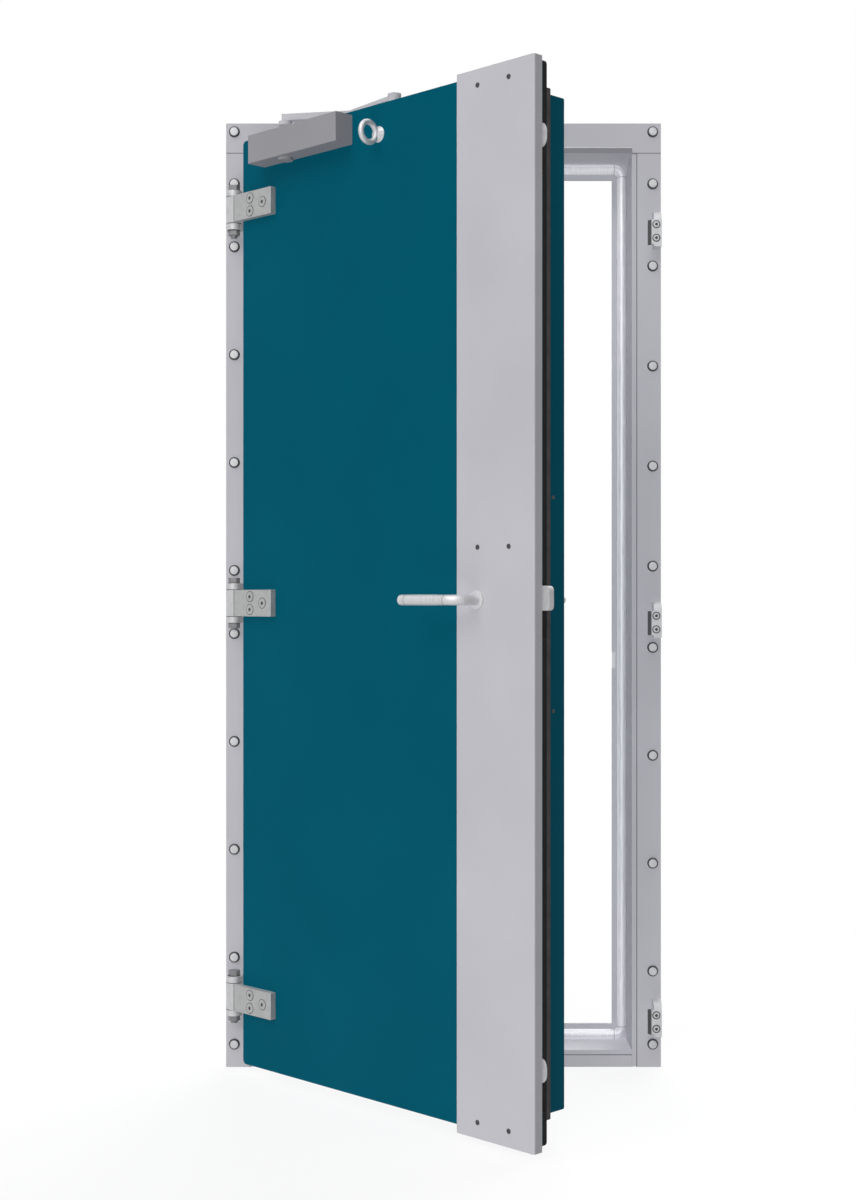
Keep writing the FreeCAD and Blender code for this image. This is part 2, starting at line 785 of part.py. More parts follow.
def make_closer():
    """The door closer: its body, its two arms with the elbow pin, and the shoe on the head."""
    length_u = d["closer_start"] + d["closer_spindle"]
    middle_y = face_y - d["closer_depth"] / 2
    body_top = leaf_top - d["closer_top_drop"]
    body_foot = body_top - d["closer_height"]
    closer = new_body("closer_body")
    closer_end = d["closer_start"] + d["closer_length"]
    case = rectangle(d["closer_start"], face_y - d["closer_depth"], closer_end, face_y)
    pad(closer, "XY", [case], body_foot, body_top)
    doc.recompute()
    front = (face_y - d["closer_depth"]).value
    front_edges = edges_where(closer.Tip.Shape, lambda c: abs(c.y - front) < 1e-3)
    dress(closer, "Fillet", front_edges, d["closer_round"])
    boss_top = body_top + d["boss_height"]
    pad(closer, "XY", [disc(length_u, middle_y, d["boss_diameter"])], body_top, boss_top)
    valve_low = body_foot - d["valve_height"]
    pad(closer, "XY", [disc(length_u, middle_y, d["valve_diameter"])], valve_low, body_foot)
    on_leaf(closer)

    turn_cos = cosine(d["open_angle"])
    turn_sin = sine(d["open_angle"])
    spindle_x = hinge_x + turn_cos * length_u + turn_sin * middle_y
    spindle_y = hinge_y - turn_sin * length_u + turn_cos * middle_y
    elbow_x = spindle_x + d["shoe_offset"]
    elbow_y = spindle_y - d["shoe_reach"]
    arm_low = boss_top + d["arm_rise"]
    arm_high = arm_low + d["arm_thickness"]
    knuckle_top = arm_low + d["knuckle_height"]
    arm_length = hypotenuse(d["shoe_offset"], d["shoe_reach"])
    half_arm = d["arm_width"] / 2
    arm = new_body("closer_arm")
    pad(arm, "XY", [disc(0, 0, d["boss_diameter"])], boss_top + d["seat_gap"], arm_low)
    pad(arm, "XY", [rectangle(-half_arm / 2, -half_arm, arm_length, half_arm)], arm_low, arm_high)
    pad(arm, "XY", [disc(arm_length, 0, d["knuckle_diameter"])], arm_low, knuckle_top)
    crank_start = arm_length - d["arm_crank"]
    crank = [(crank_start, arm_high), (arm_length, arm_high), (arm_length, knuckle_top)]
    pad(arm, "XZ", [crank], -half_arm, half_arm)
    place(arm, spindle_x, spindle_y, 0, -slant(d["shoe_reach"], d["shoe_offset"]))

    hub_low = knuckle_top + d["seat_gap"]
    forearm_low = hub_low + d["forearm_step"]
    forearm_top = forearm_low + d["forearm_thickness"]
    pin = new_body("elbow_pin")
    pad(pin, "XY", [disc(0, 0, d["joint_pin"])], knuckle_top, forearm_top + d["seat_gap"])
    head_low = forearm_top + d["seat_gap"]
    pad(pin, "XY", [disc(0, 0, d["joint_head"])], head_low, head_low + d["joint_head_height"])
    place(pin, elbow_x, elbow_y)

    forearm = new_body("closer_forearm")
    forearm_length = hypotenuse(length_u, middle_y)
    half_forearm = d["forearm_width"] / 2
    hub = d["joint_pin"] + 2 * d["seat_gap"]
    eye = d["joint_pin"] + 2 * d["shoe_pin_gap"]
    pad(forearm, "XY", [rectangle(0, -half_forearm, forearm_length, half_forearm)], forearm_low, forearm_top)
    pad(forearm, "XY", [disc(0, 0, d["boss_diameter"])], hub_low, forearm_top)
    pad(forearm, "XY", [disc(forearm_length, 0, d["boss_diameter"])], forearm_low, forearm_top)
    cut_low = hub_low - d["cut_over"]
    cut_high = forearm_top + d["cut_over"]
    pocket(forearm, "XY", [disc(0, 0, hub), disc(forearm_length, 0, eye)], cut_low, cut_high)
    place(forearm, elbow_x, elbow_y, 0, 180 + slant(middle_y, length_u) - d["open_angle"])

    shoe = new_body("closer_shoe")
    shoe_x = hinge_x + d["shoe_offset"]
    shoe_y = hinge_y - d["shoe_reach"]
    half_shoe = d["shoe_width"] / 2
    half_lug = d["shoe_lug_width"] / 2
    lug_top = forearm_low - d["seat_gap"]
    lug_low = lug_top - d["shoe_lug_height"]
    plate_y = front_y - d["shoe_plate"]
    plate_top = top_z - d["shoe_plate"]
    plate = rectangle(shoe_x - half_shoe, plate_top - d["shoe_height"], shoe_x + half_shoe, plate_top)
    pad(shoe, "XZ", [plate], plate_y, front_y)
    pad(shoe, "XY", [rectangle(shoe_x - half_lug, shoe_y, shoe_x + half_lug, plate_y)], lug_low, lug_top)
    pad(shoe, "XY", [disc(shoe_x, shoe_y, d["shoe_lug_width"])], lug_low, lug_top)
    pin_top = forearm_top + d["seat_gap"]
    pad(shoe, "XY", [disc(shoe_x, shoe_y, d["joint_pin"])], lug_top, pin_top)
    pad(shoe, "XY", [disc(shoe_x, shoe_y, d["joint_head"])], pin_top, pin_top + d["joint_head_height"])


def make_lifting_eye():
    """A ring bolt near the top of the leaf, its ring standing upright off the face."""
    eye_u = leaf_start + d["eye_setback"]
    eye_z = leaf_top - d["eye_drop"]
    collar_y = face_y - d["eye_collar_height"]
    ring_y = collar_y - d["eye_ring"] / 2
    ring = doc.addObject("Part::Torus", "eye_ring")
    bind(ring, "Radius1", d["eye_ring"] / 2)
    bind(ring, "Radius2", d["eye_wire"] / 2)
    ring.Placement.Rotation = FreeCAD.Rotation(FreeCAD.Vector(0, 1, 0), 90)
    place(ring, eye_u, ring_y, eye_z)
    collar = doc.addObject("Part::Cone", "eye_collar")
    bind(collar, "Radius1", d["eye_collar"] / 2)
    bind(collar, "Radius2", d["eye_neck"] / 2)
    bind(collar, "Height", d["eye_collar_height"])
    collar.Placement.Rotation = FreeCAD.Rotation(FreeCAD.Vector(1, 0, 0), 90)
    place(collar, eye_u, face_y, eye_z)
    eye = doc.addObject("Part::MultiFuse", "lifting_eye")
    eye.Label = "lifting_eye"
    eye.Shapes = [ring, collar]
    on_leaf(eye)
    subparts.append(eye)


def hinge_jamb_bolts():
    """The heights of the bolts down the hinge jamb."""
    upper = bolt_heights(soffit_z - d["hinge_bolts_drop"], d["bolt_pitch"], 4, -1)
    lower = bolt_heights(bottom_z + d["hinge_bolts_rise"], d["bolt_pitch"], 4, 1)
    return upper + lower


def strike_jamb_bolts():
    """The heights of the bolts down the strike jamb."""
    upper = bolt_heights(soffit_z - d["strike_bolts_drop"], d["strike_upper_pitch"], 4, -1)
    lower = bolt_heights(bottom_z + d["strike_bolts_rise"], d["bolt_pitch"], 4, 1)
    return upper + lower


def write_parts():
    """Check every object, then write each sub-part to its own file."""
    doc.recompute()
    for item in doc.Objects:
        faults = [state for state in item.State if state in ("Invalid", "Error")]
        if faults:
            raise RuntimeError("%s is %s" % (item.Label, faults[0]))
    for item in subparts:
        if item.Shape.isNull() or not item.Shape.isValid() or not item.Shape.Solids:
            raise RuntimeError("%s has no sound shape" % item.Label)
    os.makedirs("parts", exist_ok=True)
    for item in subparts:
        item.Shape.exportStep("parts/%s.step" % item.Label)


corner_bolts = [soffit_z - d["upper_bolt_drop"], bottom_z + d["foot_bolt_rise"]]
make_jamb("hinge_jamb", -1, corner_bolts + hinge_jamb_bolts())
cut_keeper_notch(make_jamb("strike_jamb", 1, corner_bolts + strike_jamb_bolts()))
make_head()
make_sill()
make_beads()
for hinge_name, hinge_height in hinge_heights.items():
    make_hinge(hinge_name, hinge_height)
for strike_name, strike_height in strike_heights.items():
    make_strike(strike_name, strike_height)
make_leaf()
make_latch()
make_handles()
make_closer()
make_lifting_eye()
write_parts()
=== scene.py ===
import json
import math

import bmesh
import bpy
from mathutils import Matrix, Vector

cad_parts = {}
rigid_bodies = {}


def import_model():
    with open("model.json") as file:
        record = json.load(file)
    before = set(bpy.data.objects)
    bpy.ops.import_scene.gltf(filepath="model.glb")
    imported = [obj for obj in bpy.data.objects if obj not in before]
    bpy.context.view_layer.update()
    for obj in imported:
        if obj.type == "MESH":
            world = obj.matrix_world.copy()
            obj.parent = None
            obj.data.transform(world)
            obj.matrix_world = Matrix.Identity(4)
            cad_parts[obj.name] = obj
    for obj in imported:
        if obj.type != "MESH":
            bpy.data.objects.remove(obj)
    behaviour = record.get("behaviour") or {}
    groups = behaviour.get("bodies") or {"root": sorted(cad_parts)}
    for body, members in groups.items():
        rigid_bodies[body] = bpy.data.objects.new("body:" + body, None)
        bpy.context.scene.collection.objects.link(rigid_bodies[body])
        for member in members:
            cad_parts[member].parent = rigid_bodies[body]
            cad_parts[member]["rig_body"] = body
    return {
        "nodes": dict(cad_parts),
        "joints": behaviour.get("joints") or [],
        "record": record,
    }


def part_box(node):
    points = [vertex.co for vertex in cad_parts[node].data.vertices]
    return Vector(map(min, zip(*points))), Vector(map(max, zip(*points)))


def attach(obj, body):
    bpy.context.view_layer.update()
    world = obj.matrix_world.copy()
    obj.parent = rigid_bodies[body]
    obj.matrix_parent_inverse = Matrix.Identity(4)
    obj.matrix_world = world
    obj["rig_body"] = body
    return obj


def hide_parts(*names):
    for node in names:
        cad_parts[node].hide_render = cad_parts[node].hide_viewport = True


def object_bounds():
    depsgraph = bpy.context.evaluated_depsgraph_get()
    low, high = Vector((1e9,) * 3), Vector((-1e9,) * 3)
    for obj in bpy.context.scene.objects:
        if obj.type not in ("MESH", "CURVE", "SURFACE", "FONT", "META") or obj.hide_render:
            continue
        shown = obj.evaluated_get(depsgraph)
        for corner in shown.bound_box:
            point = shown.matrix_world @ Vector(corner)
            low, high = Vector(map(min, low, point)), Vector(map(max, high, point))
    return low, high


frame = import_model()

cad_low, cad_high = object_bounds()
nodes = frame["nodes"]
joints = {joint["name"]: joint for joint in frame["joints"]}
node_slots = {part["node"]: part["material_slot"] for part in frame["record"]["subparts"]}

MM = 0.001
UP = Vector((0, 0, 1))
TO_STRIKE = Vector((1, 0, 0))
TO_VIEWER = Vector((0, -1, 0))
FRAME_FRONT = -10.0 * MM

# Nodes that are treated alike

LEVELS = ("top", "middle", "bottom")
STRIKES = ["strike_" + level for level in LEVELS]
CAMS = ["latch_cam_" + level for level in LEVELS]
END_CAMS = ["latch_cam_top", "latch_cam_bottom"]
BLADES = ["hinge_blade_" + level for level in LEVELS]
BRACKETS = ["hinge_bracket_" + level for level in LEVELS]
PINS = ["hinge_pin_" + level for level in LEVELS]
ARM_NODES = ["closer_arm", "closer_forearm", "elbow_pin"]
FRAME_NODES = ["hinge_jamb", "strike_jamb", "frame_head", "frame_sill"]
BEAD_TUBES = ["bead_left", "bead_right", "bead_head", "bead_sill"]
BEAD_NODES = [node for node in nodes if node.startswith("bead")]

# The leaf's own directions: along it from the hinge axis, and out of its outer face

HINGE = Vector(joints["leaf_swing"]["pos_m"])
OUTWARD = Vector(joints["handle_turn"]["axis"]).normalized()
ALONG = UP.cross(OUTWARD)
SPINDLE = Vector(joints["handle_turn"]["pos_m"])


def on_leaf(along, out, height):
    """A point by its distance from the hinge axis, its distance out of the hinge plane and its height."""
    return HINGE + ALONG * along + OUTWARD * out + UP * height


def leaf_reach(node):
    """How far a node of the leaf reaches along it and out of it, lowest and highest."""
    points = [vertex.co - HINGE for vertex in nodes[node].data.vertices]
    along = [point.dot(ALONG) for point in points]
    out = [point.dot(OUTWARD) for point in points]
    return min(along), max(along), min(out), max(out)


# Finishes

NOISE_LOW = 0.3
NOISE_HIGH = 0.7
PAINT_GLOSS = 0.02
RUBBER_GLOSS = 0.08


def linear(red, green, blue):
    """A colour of eight-bit screen values as linear light."""
    channels = []
    for value in (red, green, blue):
        share = value / 255
        channels.append(share / 12.92 if share <= 0.04045 else ((share + 0.055) / 1.055) ** 2.4)
    return (*channels, 1.0)


def tone(colour, share):
    """A colour made lighter or darker by a share."""
    return (*(min(channel * share, 1.0) for channel in colour[:3]), 1.0)


def new_finish(name, colour, roughness, metallic):
    """A material with its shader, ready for grain and bump."""
    material = bpy.data.materials.new(name)
    material.use_nodes = True
    shader = material.node_tree.nodes["Principled BSDF"]
    shader.inputs["Base Color"].default_value = colour
    shader.inputs["Roughness"].default_value = roughness
    shader.inputs["Metallic"].default_value = metallic
    return material, shader


def noise(shader, scale, detail, stretch=(1, 1, 1)):
    """Noise that is fixed to the piece, stretched along its axes."""
    tree = shader.id_data
    place = tree.nodes.new("ShaderNodeTexCoord")
    mapping = tree.nodes.new("ShaderNodeMapping")
    mapping.inputs["Scale"].default_value = stretch
    texture = tree.nodes.new("ShaderNodeTexNoise")
    texture.inputs["Scale"].default_value = scale
    texture.inputs["Detail"].default_value = detail
    tree.links.new(place.outputs["Object"], mapping.inputs["Vector"])
    tree.links.new(mapping.outputs["Vector"], texture.inputs["Vector"])
    return texture.outputs["Fac"]


def cloud(shader, factor, colour, dark, light):
    """Vary the colour by a noise, from a darker to a lighter share of it."""
    tree = shader.id_data
    ramp = tree.nodes.new("ShaderNodeValToRGB")
    low, high = ramp.color_ramp.elements
    low.position = NOISE_LOW
    low.color = tone(colour, dark)
    high.position = NOISE_HIGH
    high.color = tone(colour, light)
    tree.links.new(factor, ramp.inputs["Fac"])
    tree.links.new(ramp.outputs["Color"], shader.inputs["Base Color"])


def roughen(shader, factor, low, high):
    """Vary the roughness between two values by a noise."""
    tree = shader.id_data
    spread = tree.nodes.new("ShaderNodeMapRange")
    spread.inputs["From Min"].default_value = NOISE_LOW
    spread.inputs["From Max"].default_value = NOISE_HIGH
    spread.inputs["To Min"].default_value = low
    spread.inputs["To Max"].default_value = high
    tree.links.new(factor, spread.inputs["Value"])
    tree.links.new(spread.outputs["Result"], shader.inputs["Roughness"])


def emboss(shader, factor, strength, distance):
    """Raise the surface a little by a noise."""
    tree = shader.id_data
    bump = tree.nodes.new("ShaderNodeBump")
    bump.inputs["Strength"].default_value = strength
    bump.inputs["Distance"].default_value = distance
    tree.links.new(factor, bump.inputs["Height"])
    tree.links.new(bump.outputs["Normal"], shader.inputs["Normal"])


def paint(name, colour, roughness):
    """Sprayed enamel: faint clouds of tone and the fine ripple of a sprayed coat."""
    material, shader = new_finish(name, colour, roughness, metallic=0.0)
    shader.inputs["Specular IOR Level"].default_value = PAINT_GLOSS
    cloud(shader, noise(shader, scale=3.5, detail=4), colour, dark=0.95, light=1.04)
    roughen(shader, noise(shader, scale=40, detail=3), low=roughness - 0.05, high=roughness + 0.07)
    emboss(shader, noise(shader, scale=420, detail=2), strength=0.25, distance=0.12 * MM)
    return material


def brushed(name, colour, roughness):
    """Satin steel with a fine upright grain."""
    material, shader = new_finish(name, colour, roughness, metallic=0.3)
    grain = noise(shader, scale=260, detail=3, stretch=(1, 1, 0.08))
    cloud(shader, grain, colour, dark=0.9, light=1.06)
    roughen(shader, grain, low=roughness - 0.06, high=roughness + 0.1)
    emboss(shader, grain, strength=0.2, distance=0.08 * MM)
    return material


def plated(name, colour, roughness):
    """Zinc plate: a dull metal with soft spangle and fine pits."""
    material, shader = new_finish(name, colour, roughness, metallic=0.2)
    spangle = noise(shader, scale=90, detail=5)
    cloud(shader, spangle, colour, dark=0.9, light=1.07)
    roughen(shader, spangle, low=roughness - 0.07, high=roughness + 0.1)
    emboss(shader, noise(shader, scale=700, detail=2), strength=0.3, distance=0.1 * MM)
    return material


def rubber(name, colour):
    """Matt sealing rubber with a fine dusty grain."""
    material, shader = new_finish(name, colour, roughness=0.75, metallic=0.0)
    shader.inputs["Specular IOR Level"].default_value = RUBBER_GLOSS
    cloud(shader, noise(shader, scale=30, detail=5), colour, dark=0.85, light=1.2)
    emboss(shader, noise(shader, scale=900, detail=2), strength=0.4, distance=0.15 * MM)
    return material


TEAL_ENAMEL = paint("teal_enamel", linear(0, 80, 99), roughness=0.42)
GREY_ENAMEL = paint("grey_enamel", linear(184, 183, 189), roughness=0.45)
CLOSER_ENAMEL = paint("closer_enamel", linear(144, 143, 148), roughness=0.4)
ARM_ENAMEL = paint("arm_enamel", linear(190, 190, 195), roughness=0.4)
SEAM_GREY = paint("seam_grey", linear(96, 95, 100), roughness=0.6)
SATIN_STEEL = brushed("satin_steel", linear(196, 196, 198), roughness=0.38)
# painted light: a lighter copy of the satin steel, so the bead looks lit inside the shaded opening
BEAD_STEEL = brushed("bead_steel", linear(224, 224, 228), roughness=0.38)
ZINC_PLATE = plated("zinc_plate", linear(160, 161, 161), roughness=0.42)
LIGHT_ZINC = plated("light_zinc", linear(184, 184, 186), roughness=0.42)
PIN_STEEL = plated("pin_steel", linear(112, 112, 114), roughness=0.35)
DARK_STEEL = plated("dark_steel", linear(60, 60, 62), roughness=0.5)
BLACK_SEAL = rubber("black_seal", linear(33, 32, 32))
BROWN_SEAL = rubber("brown_seal", linear(80, 76, 78))

# Finishes by the record's slots, the nodes that differ from their slot, and the finish of marked faces

SLOT_FINISHES = {
    "leaf_paint": TEAL_ENAMEL,
    "frame_paint": GREY_ENAMEL,
    "closer_paint": CLOSER_ENAMEL,
    "bright_steel": SATIN_STEEL,
    "zinc_steel": ZINC_PLATE,
    "black_rubber": BLACK_SEAL,
    "brown_rubber": BROWN_SEAL,
}
NODE_FINISHES = {
    # painted light: the beads take the lighter copy of satin steel
    **dict.fromkeys(BEAD_NODES, BEAD_STEEL),
    **dict.fromkeys(ARM_NODES, ARM_ENAMEL),
    **dict.fromkeys(STRIKES + CAMS + BRACKETS, LIGHT_ZINC),
    **dict.fromkeys(PINS, PIN_STEEL),
}
MARKED_FINISHES = {
    # painted shade: the drip strip's downward face on the head takes the darker closer paint
    "frame_head": CLOSER_ENAMEL,
    # painted light: each hinge blade's barrel takes a lighter zinc than its strap, for the light its round
    # face catches
    **dict.fromkeys(BLADES, LIGHT_ZINC),
    # painted shade: each strike's wing strip takes dark steel for the shade on its recessed side
    **dict.fromkeys(STRIKES, DARK_STEEL),
}

# Shaping tools

MERGE_GAP = 0.002 * MM
FLAT_ANGLE = math.radians(1)
CREASE_ANGLE = math.radians(38)
FOLD_ANGLE = math.radians(9)
LATHE_STEPS = 32


def make_piece(name, shape, finish, body, crease=CREASE_ANGLE, marked=None):
    """Turn a shape into a piece that moves with a body, with another finish on its marked faces."""
    for edge in shape.edges:
        edge.smooth = len(edge.link_faces) == 2 and edge.calc_face_angle(0) < crease
    for face in shape.faces:
        face.smooth = True
    mesh = bpy.data.meshes.new(name)
    shape.to_mesh(mesh)
    shape.free()
    mesh.materials.append(finish)
    if marked:
        mesh.materials.append(marked)
    piece = bpy.data.objects.new(name, mesh)
    bpy.context.scene.collection.objects.link(piece)
    normals = piece.modifiers.new("even_normals", "WEIGHTED_NORMAL")
    normals.keep_sharp = True
    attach(piece, body)
    return piece


def ease_edges(shape, width):
    """Break the sharp edges of a shape."""
    inner = [edge for edge in shape.edges if len(edge.link_faces) == 2]
    bmesh.ops.bevel(
        shape,
        geom=[edge for edge in inner if edge.calc_face_angle(0) > CREASE_ANGLE],
        offset=width,
        offset_type="OFFSET",
        segments=2,
        profile=0.5,
        affect="EDGES",
        clamp_overlap=True,
        material=-1,
    )


def close_up(shape):
    """Merge a shape's seams and point its faces outwards."""
    bmesh.ops.remove_doubles(shape, verts=shape.verts, dist=MERGE_GAP)
    bmesh.ops.recalc_face_normals(shape, faces=shape.faces)


def facing(origin, direction):
    """A place whose own Z points in a direction."""
    turn = direction.to_track_quat("Z", "Y").to_matrix().to_4x4()
    return Matrix.Translation(origin) @ turn


def add_block(shape, middle, axes, size):
    """Add a box by its middle, the three directions of its edges and its size along each."""
    corners = bmesh.ops.create_cube(shape, size=1.0)["verts"]
    turn = Matrix(axes).transposed().to_4x4()
    place = Matrix.Translation(middle) @ turn @ Matrix.Diagonal((*size, 1))
    bmesh.ops.transform(shape, matrix=place, verts=corners)


def add_turned(shape, profile, place, steps):
    """Add a piece turned on a lathe: a profile of radius and height, spun round the place's Z."""
    before = set(shape.verts)
    corners = [shape.verts.new((radius, 0, height)) for radius, height in profile]
    lines = [shape.edges.new(pair) for pair in zip(corners, corners[1:])]
    bmesh.ops.spin(
        shape,
        geom=corners + lines,
        cent=(0, 0, 0),
        axis=(0, 0, 1),
        angle=2 * math.pi,
        steps=steps,
        use_merge=True,
        use_duplicate=False,
    )
    fresh = [vertex for vertex in shape.verts if vertex not in before]
    bmesh.ops.transform(shape, matrix=place, verts=fresh)


def turned_set(name, profile, places, finish, body, steps=LATHE_STEPS):
    """Many like turned pieces as one."""
    whole = bmesh.new()
    for place in places:
        add_turned(whole, profile, place, steps)
    close_up(whole)
    make_piece(name, whole, finish, body)


def ring_profile(inner, outer, height):
    """The profile of a flat ring."""
    return [(inner, 0), (inner, height), (outer, height), (outer, 0), (inner, 0)]


# The nodes, each as a copy with broken edges

WING_STRIP = 7.0 * MM
STRAP_START = 21.0 * MM
DRIP_TILT = -0.1
CAM_THICKNESS = 14.0 * MM
CAM_PLATE_SHARE = 0.18
CAM_REACH_SHARE = 0.7
SMALL_EDGE = 0.7 * MM
EDGE_WIDTHS = {
    **dict.fromkeys(FRAME_NODES, 0.9 * MM),
    **dict.fromkeys(("closer_body", "closer_arm", "closer_forearm", "closer_shoe"), 0.8 * MM),
    **dict.fromkeys(("rose_outer", "rose_inner", "handle_spindle"), 0.4 * MM),
    **dict.fromkeys(("elbow_pin", "latch_bar"), 0.6 * MM),
    **dict.fromkeys(("lifting_eye", "lever"), 0.0),
    "leaf_panel": 1.2 * MM,
    "edge_seal": 1.0 * MM,
    "leaf_box": 1.5 * MM,
    "seat_gasket": 2.5 * MM,
    "latch_cover": 0.5 * MM,
    "inner_handle": 1.5 * MM,
}


def mark_side(shape, point, normal):
    """Cut a shape's faces along a plane and mark those on the far side of it."""
    bmesh.ops.bisect_plane(
        shape,
        geom=shape.verts[:] + shape.edges[:] + shape.faces[:],
        plane_co=point,
        plane_no=normal,
    )
    for face in shape.faces:
        if (face.calc_center_median() - point).dot(normal) > MERGE_GAP:
            face.material_index = 1


def mark_drip_shade(shape):
    """Mark the face of the drip strip that looks down, for a darker paint that is painted shade on it."""
    for face in shape.faces:
        if face.calc_center_median().y < FRAME_FRONT - MERGE_GAP and face.normal.z < DRIP_TILT:
            face.material_index = 1


def thin_cam(shape, node):
    """Make an end cam the thin plate that shows at the leaf's edge."""
    edge = leaf_reach("leaf_panel")[1]
    front = leaf_reach(node)[2] + CAM_THICKNESS
    for vertex in shape.verts:
        reach = (vertex.co - HINGE).dot(ALONG) - edge
        depth = front - (vertex.co - HINGE).dot(OUTWARD)
        if reach > 0:
            vertex.co -= ALONG * reach * (1 - CAM_REACH_SHARE)
        if depth > 0:
            vertex.co += OUTWARD * depth * (1 - CAM_PLATE_SHARE)


def dress_node(node):
    """Stand a copy of a node in its place, with its edges broken as on the real piece."""
    shape = bmesh.new()
    shape.from_mesh(nodes[node].data)
    bmesh.ops.remove_doubles(shape, verts=shape.verts, dist=MERGE_GAP)
    bmesh.ops.dissolve_limit(shape, angle_limit=FLAT_ANGLE, verts=shape.verts, edges=shape.edges)
    # painted shade: a strike's wing strip is marked for dark steel
    if node in STRIKES:
        mark_side(shape, Vector((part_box(node)[0].x + WING_STRIP, 0, 0)), -TO_STRIKE)
    # painted light: a hinge blade's barrel is marked for a lighter zinc than its strap
    elif node in BLADES:
        mark_side(shape, on_leaf(STRAP_START, 0, 0), -ALONG)
    elif node in END_CAMS:
        thin_cam(shape, node)
    # painted shade on the drip strip's downward face
    elif node == "frame_head":
        mark_drip_shade(shape)
    width = EDGE_WIDTHS.get(node, SMALL_EDGE)
    if width:
        ease_edges(shape, width)
    slot = node_slots[node]
    finish = NODE_FINISHES.get(node, SLOT_FINISHES[slot])
    crease = FOLD_ANGLE if node in FRAME_NODES else CREASE_ANGLE
    body = nodes[node]["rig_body"]
    piece = make_piece(node + "_piece", shape, finish, body, crease, MARKED_FINISHES.get(node))
    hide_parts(node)


for node in sorted(nodes):
    dress_node(node)

# Frame bolts with their collars, whose dark steel is painted shade round each head

EASE = 0.7 * MM
ROUND_SHARE = 0.3
BOLT_RADIUS = 9.2 * MM
BOLT_HEAD = 7.0 * MM
BOLT_CROWN = 0.35 * MM
BOLT_SHANK = 6.0 * MM
BOLT_TAIL = 34.0 * MM
TAIL_CHAMFER = 1.5 * MM
COLLAR_INNER = BOLT_RADIUS + 0.1 * MM
COLLAR_LEDGE = BOLT_RADIUS + 0.6 * MM
COLLAR_RADIUS = 12.6 * MM
COLLAR_TOP = 4.8 * MM
COLLAR_RIM = 1.4 * MM
BOLT_PROFILE = [
    (0, BOLT_HEAD + BOLT_CROWN),
    (BOLT_RADIUS - EASE, BOLT_HEAD),
    (BOLT_RADIUS - ROUND_SHARE * EASE, BOLT_HEAD - ROUND_SHARE * EASE),
    (BOLT_RADIUS, BOLT_HEAD - EASE),
    (BOLT_RADIUS, COLLAR_RIM),
    (BOLT_SHANK, COLLAR_RIM),
    (BOLT_SHANK, TAIL_CHAMFER - BOLT_TAIL),
    (BOLT_SHANK - TAIL_CHAMFER, -BOLT_TAIL),
    (0, -BOLT_TAIL),
]
COLLAR_PROFILE = [
    (COLLAR_INNER, 0),
    (COLLAR_INNER, COLLAR_TOP),
    (COLLAR_LEDGE, COLLAR_TOP),
    (COLLAR_RADIUS, COLLAR_RIM),
    (COLLAR_RADIUS, 0),
    (COLLAR_INNER, 0),
]
BOLT_X = 481.0 * MM
CORNER_BOLTS_Z = (2136.4 * MM, 2016.8 * MM, 39.0 * MM)
BOLT_PITCH = 248.0 * MM
STRIKE_UPPER_PITCH = 230.0 * MM
HINGE_UPPER_BOLT = 1872.0 * MM
HINGE_LOWER_BOLT = 239.0 * MM
STRIKE_UPPER_BOLT = 1828.0 * MM
STRIKE_LOWER_BOLT = 207.0 * MM
BOLTS_IN_RUN = 4


def bolt_run(first, pitch):
    """Heights of a run of bolts at an even pitch."""
    return [first + pitch * index for index in range(BOLTS_IN_RUN)]


def bolt_jamb(jamb, side, heights):
    """The bolts of one jamb, through its flange into the wall."""
    spots = [Vector((side * BOLT_X, FRAME_FRONT, height)) for height in (*CORNER_BOLTS_Z, *heights)]
    places = [facing(spot, TO_VIEWER) for spot in spots]
    turned_set(jamb + "_bolts", BOLT_PROFILE, places, LIGHT_ZINC, "frame")
    # painted shade: the collars' dark steel stands in for the shade round each bolt head
    turned_set(jamb + "_shade_collars", COLLAR_PROFILE, places, DARK_STEEL, "frame")


hinge_heights = bolt_run(HINGE_UPPER_BOLT, -BOLT_PITCH) + bolt_run(HINGE_LOWER_BOLT, BOLT_PITCH)
strike_heights = bolt_run(STRIKE_UPPER_BOLT, -STRIKE_UPPER_PITCH) + bolt_run(STRIKE_LOWER_BOLT, BOLT_PITCH)
bolt_jamb("hinge_jamb", -1, hinge_heights)
bolt_jamb("strike_jamb", 1, strike_heights)

# Socket screws in the hinge blades, the strikes, the cover and the edge of the box

HEAD_STEPS = 28
SOCKET_SIDES = 6
SCREW_SEAT = 1.0 * MM
HEAD_EASE_SHARE = 0.6
HEAD_EASE_LIMIT = 0.12
RIM_GAP = 0.1 * MM


def circle_edges(shape, sides, radius, height):
    """The edges of a new circle at a height."""
    lift = Matrix.Translation((0, 0, height))
    circle = bmesh.ops.create_circle(shape, segments=sides, radius=radius, matrix=lift)
    return list({edge for vertex in circle["verts"] for edge in vertex.link_edges})


def sink(shape, edges, depth):
    """Extrude a ring of edges straight down and return the new ring's edges."""
    grown = bmesh.ops.extrude_edge_only(shape, edges=edges)["geom"]
    corners = {item for item in grown if isinstance(item, bmesh.types.BMVert)}
    bmesh.ops.translate(shape, verts=list(corners), vec=(0, 0, -depth))
    lower = [item for item in grown if isinstance(item, bmesh.types.BMEdge)]
    return [edge for edge in lower if corners.issuperset(edge.verts)]


